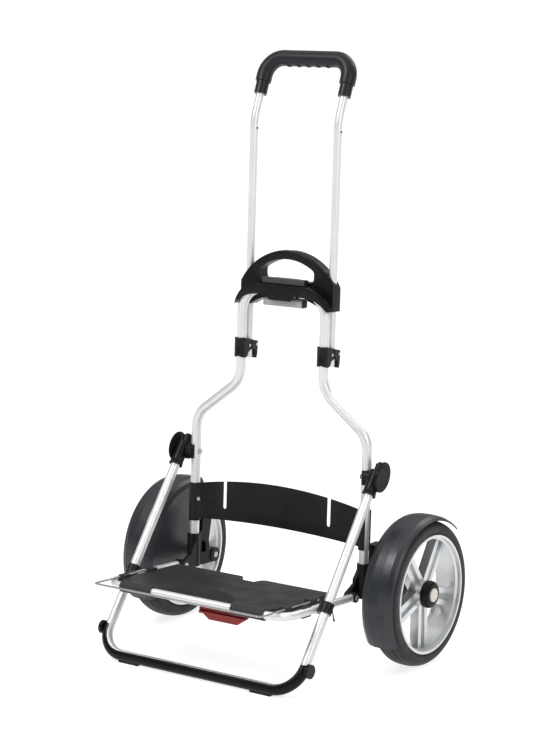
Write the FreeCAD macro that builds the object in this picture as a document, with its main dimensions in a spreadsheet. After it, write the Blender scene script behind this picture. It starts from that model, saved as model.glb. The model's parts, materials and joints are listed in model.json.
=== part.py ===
import FreeCAD, Part
import math
import os
from FreeCAD import Placement, Rotation, Vector

# Folding two-wheeled cart: a bent aluminium frame with a telescopic handle, a pair of large wheels,
# a swinging front leg and a platform that folds up against the frame.
# +X right, +Y to the back, +Z up; the origin lies on the floor, midway along the cart's depth.

doc = FreeCAD.newDocument("folding_cart")

# ---------------------------------------------------------------- driving dimensions (mm, degrees)

SIZES = {
    # wheels
    "wheel_diameter": 290, "tyre_width": 56, "rim_diameter": 236, "wheel_spacing": 596,
    "rim_wall": 5, "axle_diameter": 12, "hub_radius": 25, "spoke_width": 11, "spoke_gap": 10,
    "bearing_diameter": 28, "bearing_width": 8, "hub_cap_radius": 27, "hub_disc_radius": 13.5,
    "fender_gap": 8, "fender_wall": 2.5, "fender_width": 73,
    # tubes
    "main_tube": 20, "handle_tube": 16, "leg_tube": 19, "platform_tube": 16, "tube_wall": 1.5,
    "wire": 4,
    # main frame
    "frame_width": 416, "neck_width": 200, "frame_ahead": 65, "frame_lean": 2,
    "frame_low": 150, "shoulder_low": 453, "shoulder_high": 534, "shoulder_radius": 55,
    "crown_height": 725, "crown_radius": 50,
    # handle
    "handle_back": 24, "handle_low": 580, "handle_bend_height": 1059, "handle_bend": 20,
    "handle_bend_radius": 100, "handle_rise": 129.5, "handle_corner": 38, "stop_pin_height": 1041,
    "grip_radius": 16, "sleeve_radius": 13, "sleeve_start": 53, "sleeve_length": 26,
    # hood
    "hood_low": 690, "hood_block": 740, "hood_top": 803, "hood_depth": 27,
    "hand_hole_width": 130, "hand_hole_low": 743, "hood_band": 17,
    # back panel
    "panel_low": 231, "panel_high": 310, "panel_crown": 331, "panel_wall": 3,
    "slot_offset": 127, "slot_width": 9, "slot_low": 270,
    # leg
    "leg_pivot_height": 375.5, "leg_width": 470, "leg_angle": 36.3, "leg_offset": 12,
    "foot_height": 14, "foot_corner": 55, "cover_wall": 2.6, "cover_height": 44,
    "foot_pad_offset": 159, "foot_pad_length": 48, "hinge_bolt": 8,
    # platform
    "platform_width": 426, "platform_pivot_ahead": 106, "platform_pivot_height": 144.5,
    "platform_tilt": 3, "platform_length": 239, "platform_corner": 40, "clip_reach": 282,
    "plate_half_width": 188, "plate_wall": 3.5, "plate_top": 10, "plate_rear": 22,
    "bar_half_length": 92, "scoop_depth": 68, "wrap_end": 171, "wire_half_width": 198, "wire_reach": 294,
    "wire_rear": 100, "wire_height": 10.4,
    # fits
    "seat_gap": 0.15, "moving_gap": 0.35, "running_fit": 0.05,
}

sheet = doc.addObject("Spreadsheet::Sheet", "Sizes")
for row, (alias, number) in enumerate(SIZES.items(), start=1):
    sheet.set(f"A{row}", alias)
    sheet.set(f"B{row}", str(number))
    sheet.setAlias(f"B{row}", alias)
doc.recompute()


class Size:
    """A length with the sheet formula that it comes from."""

    def __init__(self, value, formula):
        self.value = float(value)
        self.formula = formula

    def __float__(self):
        return self.value

    def combined(self, other, sign, result):
        text = other.formula if isinstance(other, Size) else repr(float(other))
        return Size(result, f"({self.formula} {sign} {text})")

    def __add__(self, other):
        return self.combined(other, "+", self.value + float(other))

    def __sub__(self, other):
        return self.combined(other, "-", self.value - float(other))

    def __mul__(self, other):
        return self.combined(other, "*", self.value * float(other))

    def __truediv__(self, other):
        return self.combined(other, "/", self.value / float(other))


def size(alias):
    return Size(sheet.get(alias), f"Sizes.{alias}")


def mm(alias):
    return float(sheet.get(alias))


# ---------------------------------------------------------------- places worked out from the sizes

WHEEL_R = mm("wheel_diameter") / 2
WHEEL_X = mm("wheel_spacing") / 2
FRAME_X = mm("frame_width") / 2
NECK_X = mm("neck_width") / 2
LEG_X = mm("leg_width") / 2
PLATFORM_X = mm("platform_width") / 2
MAIN_R = mm("main_tube") / 2
HANDLE_R = mm("handle_tube") / 2
LEG_R = mm("leg_tube") / 2
DECK_R = mm("platform_tube") / 2
WIRE_R = mm("wire") / 2
SEAT = mm("seat_gap")
LOOSE = mm("moving_gap")
SIDES = {"left": -1, "right": 1}

LEAN = math.radians(mm("frame_lean"))
TILT = math.radians(mm("platform_tilt"))
LEG_TURN = math.radians(mm("leg_angle"))

front_reach = (mm("platform_pivot_ahead") + mm("wire_reach") * math.cos(TILT)
               - mm("wire_height") * math.sin(TILT) + WIRE_R)
AXLE_Y = (front_reach - WHEEL_R) / 2
FRAME_Y = AXLE_Y - mm("frame_ahead") - WHEEL_R * math.tan(LEAN)

# The leaning frame: local x across, y square to the tubes towards the back, z up along the tubes.
FRAME = Placement(Vector(0, FRAME_Y, 0), Rotation(Vector(1, 0, 0), -mm("frame_lean")))
LEG_PIVOT = FRAME.multVec(Vector(0, 0, mm("leg_pivot_height")))
# The front leg: local z runs up the leg, the hinge line is its x axis.
LEG = Placement(LEG_PIVOT, Rotation(Vector(1, 0, 0), -mm("leg_angle")))
PLATFORM_PIVOT = Vector(0, AXLE_Y - mm("platform_pivot_ahead"), mm("platform_pivot_height"))
# The platform: local -y runs forward from its hinge line, z square to its frame.
DECK = Placement(PLATFORM_PIVOT, Rotation(Vector(1, 0, 0), -mm("platform_tilt")))
AXLE = Vector(0, AXLE_Y, WHEEL_R)
WORLD = Placement()

# ---------------------------------------------------------------- ways of making shapes


def keep(label, shape, placement=WORLD):
    """Add a sub-part that is built directly as a shape."""
    part = doc.addObject("Part::Feature", label)
    part.Label = label
    part.Shape = shape
    part.Placement = placement.multiply(shape.Placement)
    return part


def wire_through(points):
    return Part.makePolygon(list(points) + [points[0]])


def prism(points, depth):
    """Closed outline pushed along the depth vector."""
    return Part.Face(wire_through(points)).extrude(depth)


def box(low, high):
    return Part.makeBox(high.x - low.x, high.y - low.y, high.z - low.z, low)


def rod(radius, start, end):
    return Part.makeCylinder(radius, (end - start).Length, start, end - start)


def bent_path(corners, radii):
    """Straight runs joined by a tangent arc at each inner corner."""
    edges = []
    start = corners[0]
    for before, corner, after, radius in zip(corners, corners[1:], corners[2:], radii):
        back = (before - corner).normalize()
        ahead = (after - corner).normalize()
        half = back.getAngle(ahead) / 2
        first = corner + back * (radius / math.tan(half))
        last = corner + ahead * (radius / math.tan(half))
        middle = corner + (back + ahead).normalize() * (radius / math.sin(half) - radius)
        edges.append(Part.LineSegment(start, first).toShape())
        edges.append(Part.Arc(first, middle, last).toShape())
        start = last
    edges.append(Part.LineSegment(start, corners[-1]).toShape())
    return Part.Wire(edges)


def swept(path, profile):
    return path.makePipeShell([profile], True, False)


def bar(path, radius):
    """Round bar along a path."""
    first = path.Edges[0]
    heading = first.tangentAt(first.FirstParameter)
    circle = Part.makeCircle(radius, first.valueAt(first.FirstParameter), heading)
    return swept(path, Part.Wire(circle))


def tube(path, radius, wall):
    return bar(path, radius).cut(bar(path, radius - wall))


def channel_profile(centre, outward, side, inner, outer, half_angle):
    """Part of a ring about a path's start, centred on the outward direction."""
    def at(radius, angle):
        return centre + outward * (radius * math.cos(angle)) + side * (radius * math.sin(angle))
    spread = math.radians(half_angle)
    outer_arc = Part.Arc(at(outer, -spread), at(outer, 0), at(outer, spread)).toShape()
    inner_arc = Part.Arc(at(inner, spread), at(inner, 0), at(inner, -spread)).toShape()
    close_a = Part.LineSegment(at(outer, spread), at(inner, spread)).toShape()
    close_b = Part.LineSegment(at(inner, -spread), at(outer, -spread)).toShape()
    return Part.Wire([outer_arc, close_a, inner_arc, close_b])


def arch(left, top, right):
    return Part.Arc(left, top, right).toShape()


def line(start, end):
    return Part.LineSegment(start, end).toShape()


def mirrored(shape, side):
    return shape if side > 0 else shape.mirror(Vector(0, 0, 0), Vector(1, 0, 0))


def fused(first, *others):
    return first.fuse(list(others)).removeSplitter()


def origin_plane(body, role):
    return next(item for item in body.Origin.OriginFeatures if item.Role == role)


def profile_sketch(body, role, corners, name):
    """Closed polygon sketch, each corner tied to the sheet by its own two formulas."""
    sketch = body.newObject("Sketcher::SketchObject", name)
    sketch.AttachmentSupport = (origin_plane(body, role), "")
    sketch.MapMode = "FlatFace"
    points = [Vector(float(x), float(y), 0) for x, y in corners]
    count = len(points)
    for index in range(count):
        sketch.addGeometry(Part.LineSegment(points[index], points[(index + 1) % count]), False)
    import Sketcher
    for index in range(count):
        sketch.addConstraint(Sketcher.Constraint("Coincident", index, 2, (index + 1) % count, 1))
    for index, (x, y) in enumerate(corners):
        for kind, coordinate in (("DistanceX", x), ("DistanceY", y)):
            place = sketch.addConstraint(
                Sketcher.Constraint(kind, -1, 1, index, 1, float(coordinate)))
            sketch.setExpression(f"Constraints[{place}]", coordinate.formula)
    return sketch


def turned(label, corners, placement=WORLD):
    """Body turned about its own x axis from (along, radius) corners."""
    body = doc.addObject("PartDesign::Body", label)
    body.Label = label
    sketch = profile_sketch(body, "XY_Plane", corners, f"{label}_profile")
    turn = body.newObject("PartDesign::Revolution", f"{label}_turn")
    turn.Profile = sketch
    turn.ReferenceAxis = (sketch, ["H_Axis"])
    turn.Angle = 360
    body.Tip = turn
    body.Placement = placement
    return body


def facing(side):
    """Turns a body made along +x so that it points out of the given side of the cart."""
    return Rotation() if side > 0 else Rotation(Vector(0, 0, 1), 180)


def fixed(value):
    return Size(value, repr(float(value)))


def placed(label, kind, placement=WORLD, **lengths):
    """Part primitive with its lengths tied to the sheet."""
    part = doc.addObject(f"Part::{kind}", label)
    part.Label = label
    for name, length in lengths.items():
        part.setExpression(name, length.formula)
    part.Placement = placement
    return part


def spin(outline, centre, start, sweep):
    """Outline given as (x, radius) pairs swung about the x axis through a centre."""
    points = [Vector(x, centre.y + radius, centre.z) for x, radius in outline]
    face = Part.Face(wire_through(points))
    face.rotate(centre, Vector(1, 0, 0), start)
    return face.revolve(centre, Vector(1, 0, 0), sweep)


def cross_rod(radius, x_low, x_high, y, z):
    return rod(radius, Vector(x_low, y, z), Vector(x_high, y, z))


def side_plate(points, x_low, x_high):
    """Outline of (y, z) pairs given from the axle line and the floor, thick across x."""
    corners = [Vector(x_low, AXLE_Y + y, z) for y, z in points]
    return prism(corners, Vector(x_high - x_low, 0, 0))


def moved(shape, placement):
    """Shape made in a local frame, set where that frame stands."""
    copy = shape.copy()
    copy.Placement = placement.multiply(copy.Placement)
    return copy


# ---------------------------------------------------------------- main frame tube

crown = mm("crown_height")
low, high = mm("shoulder_low"), mm("shoulder_high")
frame_corners = [Vector(-FRAME_X, 0, mm("frame_low")), Vector(-FRAME_X, 0, low),
                 Vector(-NECK_X, 0, high), Vector(-NECK_X, 0, crown), Vector(NECK_X, 0, crown),
                 Vector(NECK_X, 0, high), Vector(FRAME_X, 0, low),
                 Vector(FRAME_X, 0, mm("frame_low"))]
shoulder, top_bend = mm("shoulder_radius"), mm("crown_radius")
frame_path = bent_path(frame_corners, [shoulder, shoulder, top_bend, top_bend, shoulder, shoulder])
neck_path = bent_path([Vector(-NECK_X, 0, high + shoulder), *frame_corners[3:5],
                       Vector(NECK_X, 0, high + shoulder)], [top_bend, top_bend])
BOLT_R = mm("hinge_bolt") / 2
PIVOT_W = mm("leg_pivot_height")
frame_shape = tube(frame_path, MAIN_R, mm("tube_wall"))
for side in SIDES.values():
    frame_shape = frame_shape.cut(cross_rod(BOLT_R + SEAT, side * FRAME_X - 12, side * FRAME_X + 12,
                                            0, PIVOT_W))
keep("main_frame_tube", frame_shape, FRAME)

# ---------------------------------------------------------------- lower brackets and stub axles

BRACKET_OUT = FRAME_X + 13
PIVOT = (-mm("platform_pivot_ahead"), mm("platform_pivot_height"))
PIN_R = 3
upright_bore = moved(rod(MAIN_R + SEAT, Vector(FRAME_X, 0, mm("frame_low") - SEAT),
                         Vector(FRAME_X, 0, 300)), FRAME)
socket = moved(rod(13, Vector(FRAME_X, 0, 134), Vector(FRAME_X, 0, 203)), FRAME)
web = side_plate([(-72, 134), (-30, 131), (0, 131), (12, 140), (12, 150), (0, 159), (-18, 161),
                  (-20, 180), (-15, 205), (-8, 236), (-40, 236), (-44, 204), (-72, 202)],
                 FRAME_X - 6, BRACKET_OUT - 2)
window = side_plate([(-47, 158), (-30, 158), (-31, 176), (-45, 190)], FRAME_X - 20, FRAME_X + 20)
ear = side_plate([(-108, 134), (-70, 134), (-70, 172), (-110, 154)], FRAME_X - 11.5, FRAME_X - 3.8)
ear_eye = cross_rod(10.5, FRAME_X - 11.5, FRAME_X - 3.8, AXLE_Y + PIVOT[0], PIVOT[1])
boss = cross_rod(15, FRAME_X - 8, BRACKET_OUT, AXLE_Y, WHEEL_R)
ear_root = side_plate([(-84, 136), (-70, 136), (-70, 190), (-84, 174)], FRAME_X - 11.5, FRAME_X - 3.8)
bracket = fused(socket, web, ear, ear_eye, boss, ear_root)
bracket = bracket.cut([upright_bore, window,
                       cross_rod(PIN_R + SEAT, FRAME_X - 20, FRAME_X, AXLE_Y + PIVOT[0], PIVOT[1]),
                       cross_rod(mm("axle_diameter") / 2 + SEAT, 100, 300, AXLE_Y, WHEEL_R)])
for name, side in SIDES.items():
    keep(f"lower_bracket_{name}", mirrored(bracket, side))

axle_r = size("axle_diameter") / 2
wheel_x = size("wheel_spacing") / 2
collar_r = axle_r + 4
hub_face = wheel_x - 22.4
axle_corners = [(size("frame_width") / 2 - 10, fixed(0)), (size("frame_width") / 2 - 10, axle_r),
                (size("frame_width") / 2 + 13.2, axle_r), (size("frame_width") / 2 + 13.2, collar_r),
                (hub_face, collar_r), (hub_face, axle_r), (wheel_x + 27, axle_r),
                (wheel_x + 27, fixed(0))]
for name, side in SIDES.items():
    turned(f"stub_axle_{name}", axle_corners, Placement(AXLE, facing(side)))

# ---------------------------------------------------------------- fenders

inner_x = WHEEL_X - mm("tyre_width") / 2 - 14
outer_x = inner_x + mm("fender_width")
wall = mm("fender_wall")
dome = WHEEL_R + mm("fender_gap")
SHOULDER_DROP = 39
FENDER_REAR, FENDER_TOP, FENDER_FRONT = 50.7, 88, 212
shoulder_r = dome - SHOULDER_DROP
fender_outline = [(inner_x, shoulder_r), (inner_x, dome - 13), (inner_x + 4, dome - 5),
                  (inner_x + 12, dome), (inner_x + 24, dome + 2.5), (inner_x + 44, dome + 3),
                  (inner_x + 60, dome + 1.5), (outer_x - 4, dome - 2), (outer_x, dome - 6),
                  (outer_x - 2, dome - 7), (outer_x - 5, dome - 4.5), (inner_x + 59.5, dome - 1),
                  (inner_x + 44, dome + 0.5), (inner_x + 24.5, dome), (inner_x + 13, dome - 2.5),
                  (inner_x + 6, dome - 6.5), (inner_x + wall, dome - 13.5), (inner_x + wall, shoulder_r)]
fender = spin(fender_outline, AXLE, FENDER_REAR, FENDER_FRONT - FENDER_REAR)
rear_trim = prism([Vector(x, AXLE_Y + y, WHEEL_R) for x, y in
                   ((inner_x - 5, 30), (outer_x + 5, 102), (outer_x + 5, 180), (inner_x - 5, 180))],
                  Vector(0, 0, 2 * dome))
collar_fit = mm("axle_diameter") / 2 + 4 + SEAT
side_wall = [(inner_x, collar_fit), (inner_x, shoulder_r + 1), (inner_x + wall, shoulder_r + 1),
             (inner_x + wall, collar_fit)]
fender_hub = [(inner_x - 5, collar_fit), (inner_x - 5, collar_fit + 6), (inner_x + wall + 3, collar_fit + 6),
              (inner_x + wall + 3, collar_fit)]
fender = fused(fender.cut(rear_trim), spin(side_wall, AXLE, FENDER_TOP, FENDER_FRONT - FENDER_TOP),
               spin(fender_hub, AXLE, 0, 360))
for name, side in SIDES.items():
    keep(f"fender_{name}", mirrored(fender, side))

# ---------------------------------------------------------------- back panel (frame coordinates)

p_low, p_high, p_crown = mm("panel_low"), mm("panel_high"), mm("panel_crown")
p_wall = mm("panel_wall")
PANEL_FRONT = -7.5
EDGE_X = FRAME_X - 8
left_edge, right_edge = -EDGE_X, EDGE_X
web_outline = Part.Wire([
    arch(Vector(left_edge, PANEL_FRONT, p_low + 6), Vector(0, PANEL_FRONT, p_low + 15),
         Vector(right_edge, PANEL_FRONT, p_low + 6)),
    line(Vector(right_edge, PANEL_FRONT, p_low + 6), Vector(right_edge, PANEL_FRONT, p_high)),
    arch(Vector(right_edge, PANEL_FRONT, p_high), Vector(0, PANEL_FRONT, p_crown),
         Vector(left_edge, PANEL_FRONT, p_high)),
    line(Vector(left_edge, PANEL_FRONT, p_high), Vector(left_edge, PANEL_FRONT, p_low + 6))])
panel = Part.Face(web_outline).extrude(Vector(0, p_wall, 0))
for side in SIDES.values():
    ring = rod(MAIN_R + 2.2, Vector(side * FRAME_X, 0, p_low), Vector(side * FRAME_X, 0, p_high))
    panel = panel.fuse(ring)
SCREW_X, SCREW_W = FRAME_X - 15.5, 278
RIB_LINE = ((193, 279.5), (118, 267.5), (0, 261))
for side in SIDES.values():
    for start, end in zip(RIB_LINE, RIB_LINE[1:]):
        corners = [(start[0], start[1] - 1.5), (end[0], end[1] - 1.5), (end[0], end[1] + 1.5),
                   (start[0], start[1] + 1.5)]
        panel = panel.fuse(prism([Vector(side * x, PANEL_FRONT - 1, w) for x, w in corners],
                                 Vector(0, 2, 0)))
half_slot, slot_low = mm("slot_width") / 2, mm("slot_low")
for side in SIDES.values():
    centre = side * FRAME_X
    mouth_corners = ((0, 0), (16, -22), (30, -8), (22, 8))
    mouth = prism([Vector(centre + side * x, y, p_low - 1) for x, y in mouth_corners],
                  Vector(0, 0, p_high - p_low + 2))
    bore = rod(MAIN_R + SEAT, Vector(centre, 0, p_low - 1), Vector(centre, 0, p_high + 1))
    slot_x = side * mm("slot_offset")
    slot = box(Vector(slot_x - half_slot, -20, slot_low), Vector(slot_x + half_slot, 20, p_crown + 5))
    slot_end = rod(half_slot, Vector(slot_x, -20, slot_low), Vector(slot_x, 20, slot_low))
    x = side * SCREW_X
    screw_hole = rod(2.15, Vector(x, -20, SCREW_W), Vector(x, 20, SCREW_W))
    head_room = rod(4.3, Vector(x, -20, SCREW_W), Vector(x, PANEL_FRONT, SCREW_W))
    panel = panel.cut([mouth, bore, slot, slot_end, screw_hole, head_room])
keep("back_panel", panel.removeSplitter(), FRAME)

screws = []
panel_back = PANEL_FRONT + p_wall
for side in SIDES.values():
    x = side * SCREW_X
    shank = rod(2, Vector(x, PANEL_FRONT - 0.5, SCREW_W), Vector(x, panel_back + 0.5, SCREW_W))
    head = rod(4, Vector(x, PANEL_FRONT - 1.6, SCREW_W), Vector(x, PANEL_FRONT - 0.1, SCREW_W))
    nut = rod(3, Vector(x, panel_back + 0.1, SCREW_W), Vector(x, panel_back + 2.6, SCREW_W))
    screws.append(fused(shank, head, nut))
keep("panel_screws", Part.makeCompound(screws), FRAME)

# ---------------------------------------------------------------- handle (frame coordinates)

back = mm("handle_back")
bend = math.radians(mm("handle_bend"))
bend_w = mm("handle_bend_height")
rise = mm("handle_rise")


def on_rise(x, distance):
    return Vector(x, back + distance * math.sin(bend), bend_w + distance * math.cos(bend))


handle_path = bent_path([Vector(-NECK_X, back, mm("handle_low")), Vector(-NECK_X, back, bend_w),
                         on_rise(-NECK_X, rise), on_rise(NECK_X, rise),
                         Vector(NECK_X, back, bend_w), Vector(NECK_X, back, mm("handle_low"))],
                        [mm("handle_bend_radius"), mm("handle_corner"), mm("handle_corner"),
                         mm("handle_bend_radius")])
PIN_W = mm("stop_pin_height")
handle_shape = tube(handle_path, HANDLE_R, mm("tube_wall"))
for side in SIDES.values():
    handle_shape = handle_shape.cut(cross_rod(2 + SEAT, side * NECK_X - 12, side * NECK_X + 12, back, PIN_W))
keep("handle_tube", handle_shape, FRAME)
keep("handle_stop_pins",
     Part.makeCompound([cross_rod(2, side * NECK_X - HANDLE_R - 1, side * NECK_X + HANDLE_R + 1, back, PIN_W)
                        for side in SIDES.values()]), FRAME)

sleeve_start, sleeve_length = mm("sleeve_start"), mm("sleeve_length")
grip_r = mm("grip_radius")


def grip_path(distance):
    return bent_path([on_rise(-NECK_X, distance), on_rise(-NECK_X, rise), on_rise(NECK_X, rise),
                      on_rise(NECK_X, distance)], [mm("handle_corner"), mm("handle_corner")])


grip = bar(grip_path(sleeve_start), mm("sleeve_radius"))
grip = grip.fuse(bar(grip_path(sleeve_start + sleeve_length), grip_r))
BUMP_PITCH = 23
bump_drop = 8.2
for index in range(-2, 3):
    bump_centre = on_rise(index * BUMP_PITCH, rise - bump_drop)
    grip = grip.fuse(Part.makeSphere(grip_r - 6, bump_centre, Vector(1, 0, 0)))
grip = grip.cut(bar(grip_path(sleeve_start - 1), HANDLE_R + SEAT))
keep("handle_grip", grip.removeSplitter(), FRAME)

# ---------------------------------------------------------------- hood with its release bars

FACE_V = 8
depth = mm("hood_depth")
hood_x = NECK_X + 11
hood_low, hood_block, hood_top = mm("hood_low"), mm("hood_block"), mm("hood_top")
arch_r = ((hood_top - hood_block) ** 2 + hood_x ** 2) / (2 * (hood_top - hood_block))
arch_w = hood_top - arch_r
block_inner = NECK_X - 11
outline = Part.Wire([
    line(Vector(-hood_x, FACE_V, hood_low), Vector(-hood_x, FACE_V, hood_block)),
    arch(Vector(-hood_x, FACE_V, hood_block), Vector(0, FACE_V, hood_top),
         Vector(hood_x, FACE_V, hood_block)),
    line(Vector(hood_x, FACE_V, hood_block), Vector(hood_x, FACE_V, hood_low)),
    line(Vector(hood_x, FACE_V, hood_low), Vector(block_inner, FACE_V, hood_low)),
    arch(Vector(block_inner, FACE_V, hood_low), Vector(0, FACE_V, hood_low + 25),
         Vector(-block_inner, FACE_V, hood_low)),
    line(Vector(-block_inner, FACE_V, hood_low), Vector(-hood_x, FACE_V, hood_low))])
hood = Part.Face(outline).extrude(Vector(0, depth, 0))
outer_edges = [edge for edge in hood.Edges
               if edge.BoundBox.YLength < 0.1 and edge.BoundBox.ZMax > hood_block + 1]
hood = hood.makeFillet(4, outer_edges)

hole_x, hole_low = mm("hand_hole_width") / 2, mm("hand_hole_low")
band_r = arch_r - mm("hood_band")
hole_side = arch_w + math.sqrt(band_r ** 2 - hole_x ** 2)
hole_outline = Part.Wire([
    line(Vector(-hole_x, 0, hole_low), Vector(-hole_x, 0, hole_side)),
    arch(Vector(-hole_x, 0, hole_side), Vector(0, 0, arch_w + band_r), Vector(hole_x, 0, hole_side)),
    line(Vector(hole_x, 0, hole_side), Vector(hole_x, 0, hole_low)),
    line(Vector(hole_x, 0, hole_low), Vector(-hole_x, 0, hole_low))])
hand_hole = Part.Face(hole_outline).extrude(Vector(0, 60, 0))
hand_hole = hand_hole.makeFillet(9, [edge for edge in hand_hole.Edges if edge.BoundBox.YLength > 50])
SKIRT_V, SKIRT_TOP, SKIRT_LOW, SKIRT_FLAT = -15, 736, 714.2, 46
tip_x, tip_w = NECK_X + 12, hood_low + 1


def skirt_arc(side, flat_w, middle):
    ends = [Vector(side * SKIRT_FLAT, SKIRT_V, flat_w), Vector(side * tip_x, SKIRT_V, tip_w)]
    passing = Vector(side * middle[0], SKIRT_V, middle[1])
    return arch(ends[0], passing, ends[1])


def skirt_flat(w):
    return line(Vector(-SKIRT_FLAT, SKIRT_V, w), Vector(SKIRT_FLAT, SKIRT_V, w))


TOP_PASS, LOW_PASS = (NECK_X - 5, 722), (NECK_X - 9, 706)
skirt_outline = Part.Wire(Part.__sortEdges__(
    [skirt_flat(SKIRT_TOP), skirt_arc(1, SKIRT_TOP, TOP_PASS), skirt_arc(1, SKIRT_LOW, LOW_PASS),
     skirt_flat(SKIRT_LOW), skirt_arc(-1, SKIRT_LOW, LOW_PASS), skirt_arc(-1, SKIRT_TOP, TOP_PASS)]))
skirt = Part.Face(skirt_outline).extrude(Vector(0, FACE_V + 0.5 - SKIRT_V, 0))
skirt = skirt.makeFillet(4, [edge for edge in skirt.Edges
                               if edge.BoundBox.YMax < SKIRT_V + 0.1 and edge.BoundBox.ZMax > SKIRT_TOP - 1])
tab = prism([Vector(x, SKIRT_V, w) for x, w in ((-34, 716), (34, 716), (25, 705), (-25, 705))],
            Vector(0, 3.5, 0))
hood = fused(hood.cut(hand_hole), skirt, tab)
hood = hood.cut(bar(neck_path, MAIN_R + SEAT))
RELIEF_X = 50
hood = hood.cut(box(Vector(-RELIEF_X, 7, hood_low - 5), Vector(RELIEF_X, 13.6, 714.5)))
for side in SIDES.values():
    bore = rod(HANDLE_R + mm("running_fit"), Vector(side * NECK_X, back, hood_low - 10),
               Vector(side * NECK_X, back, hood_top))
    middle = side * 24
    slot = box(Vector(middle - 4.5, 8, hood_low - 5), Vector(middle + 4.5, 13.2, hole_low + 1))
    hood = hood.cut([bore, slot])
keep("hood_cover", hood, FRAME)

BAR_TOP = 748.3
upper_bar = box(Vector(-50, -4, 737.4), Vector(50, 7.6, BAR_TOP))
tongue = box(Vector(-28, 7, 744.8), Vector(28, 12.8, BAR_TOP))
keep("release_upper_bar", fused(upper_bar, tongue), FRAME)
lower_bar = box(Vector(-46, -5, 692), Vector(46, 13, 710))
lower_bar = lower_bar.makeFillet(7, [edge for edge in lower_bar.Edges
                                     if edge.BoundBox.XLength > 80 and edge.BoundBox.YMax < 0])
keep("release_lower_bar", lower_bar, FRAME)
caps = []
links = []
for side in SIDES.values():
    caps.append(box(Vector(min(side * 50.1, side * 53), -3.8, 737.6),
                    Vector(max(side * 50.1, side * 53), 7.4, BAR_TOP - 0.2)))
    caps.append(box(Vector(min(side * 46.1, side * 48), -2, 694),
                    Vector(max(side * 46.1, side * 48), 12.8, 708)))
    links.append(box(Vector(side * 24 - 4, 10.6, 710.1), Vector(side * 24 + 4, 12.8, 744.7)))
keep("release_end_caps", Part.makeCompound(caps), FRAME)
keep("release_links", Part.makeCompound(links), FRAME)

# ---------------------------------------------------------------- tube guides below the hood

GUIDE_HALF = 12.5
GUIDE_SIDE = ((-14, 604), (-14, 621), (-6, 622), (42, 612), (42, 598), (41, 585), (38.5, 577),
              (35.5, 582), (33, 593), (28, 597), (16, 595), (7, 589), (3, 583.5), (-3, 581), (-9, 582.5),
              (-13, 587), (-14.5, 594), (-13, 600), (-11.5, 602.5))
guide = prism([Vector(-GUIDE_HALF, v, w) for v, w in GUIDE_SIDE], Vector(2 * GUIDE_HALF, 0, 0))
plan = rod(MAIN_R + 4, Vector(0, 0, 570), Vector(0, 0, 630))
plan = plan.fuse([box(Vector(-10.5, 0, 570), Vector(10.5, 45, 630)),
                  rod(HANDLE_R + 4, Vector(0, back, 570), Vector(0, back, 630))])
guide = guide.common(plan)
guide = guide.cut([rod(MAIN_R + SEAT, Vector(0, 0, 560), Vector(0, 0, 640)),
                   rod(HANDLE_R + mm("running_fit"), Vector(0, back, 560), Vector(0, back, 640))])
RIVET_REACH = {13: 10.7, 37: 10.5}
for v in RIVET_REACH:
    guide = guide.cut(cross_rod(1.65, -20, 20, v, 605))
rivets = []
for name, side in SIDES.items():
    centred = guide.copy()
    centred.translate(Vector(side * NECK_X, 0, 0))
    keep(f"tube_guide_{name}", centred, FRAME)
    for v in RIVET_REACH:
        x = side * NECK_X
        reach_x = RIVET_REACH[v]
        rivets.append(fused(cross_rod(1.5, x - reach_x - 0.5, x + reach_x + 0.5, v, 605),
                            cross_rod(3, x - reach_x - 1.5, x - reach_x - 0.1, v, 605),
                            cross_rod(3, x + reach_x + 0.1, x + reach_x + 1.5, v, 605)))
keep("guide_rivets", Part.makeCompound(rivets), FRAME)

# ---------------------------------------------------------------- leg hinge

hub = cross_rod(17, FRAME_X, FRAME_X + 16.4, 0, PIVOT_W)
hub = hub.fuse(rod(13.5, Vector(FRAME_X, 0, PIVOT_W - 14), Vector(FRAME_X, 0, PIVOT_W + 14)))
hub = hub.cut([rod(MAIN_R + SEAT, Vector(FRAME_X, 0, PIVOT_W - 40), Vector(FRAME_X, 0, PIVOT_W + 40)),
               box(Vector(FRAME_X - 20, -20, PIVOT_W - 40), Vector(FRAME_X - 3, 20, PIVOT_W + 40)),
               cross_rod(BOLT_R + SEAT, FRAME_X - 20, FRAME_X + 20, 0, PIVOT_W)])
for name, side in SIDES.items():
    keep(f"hinge_hub_{name}", mirrored(hub.removeSplitter(), side), FRAME)

frame_x = size("frame_width") / 2
bolt_r = size("hinge_bolt") / 2
bolt_corners = [(frame_x - 12.2, fixed(0)), (frame_x - 12.2, bolt_r + 1.5), (frame_x - 10.1, bolt_r + 2.5),
                (frame_x - 10.1, bolt_r), (frame_x + 38.6, bolt_r), (frame_x + 38.6, fixed(0))]
for name, side in SIDES.items():
    turned(f"leg_pivot_bolt_{name}", bolt_corners, Placement(LEG_PIVOT, facing(side)))
pin_r = fixed(PIN_R)
pin_corners = [(frame_x - 14, fixed(0)), (frame_x - 14, pin_r + 2), (frame_x - 11.6, pin_r + 2.5),
               (frame_x - 11.6, pin_r), (frame_x + 13.4, pin_r), (frame_x + 13.4, pin_r + 2.3),
               (frame_x + 15, pin_r + 1.8), (frame_x + 15, fixed(0))]
for name, side in SIDES.items():
    turned(f"platform_pivot_bolt_{name}", pin_corners, Placement(PLATFORM_PIVOT, facing(side)))

# ---------------------------------------------------------------- front leg (leg coordinates)

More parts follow.
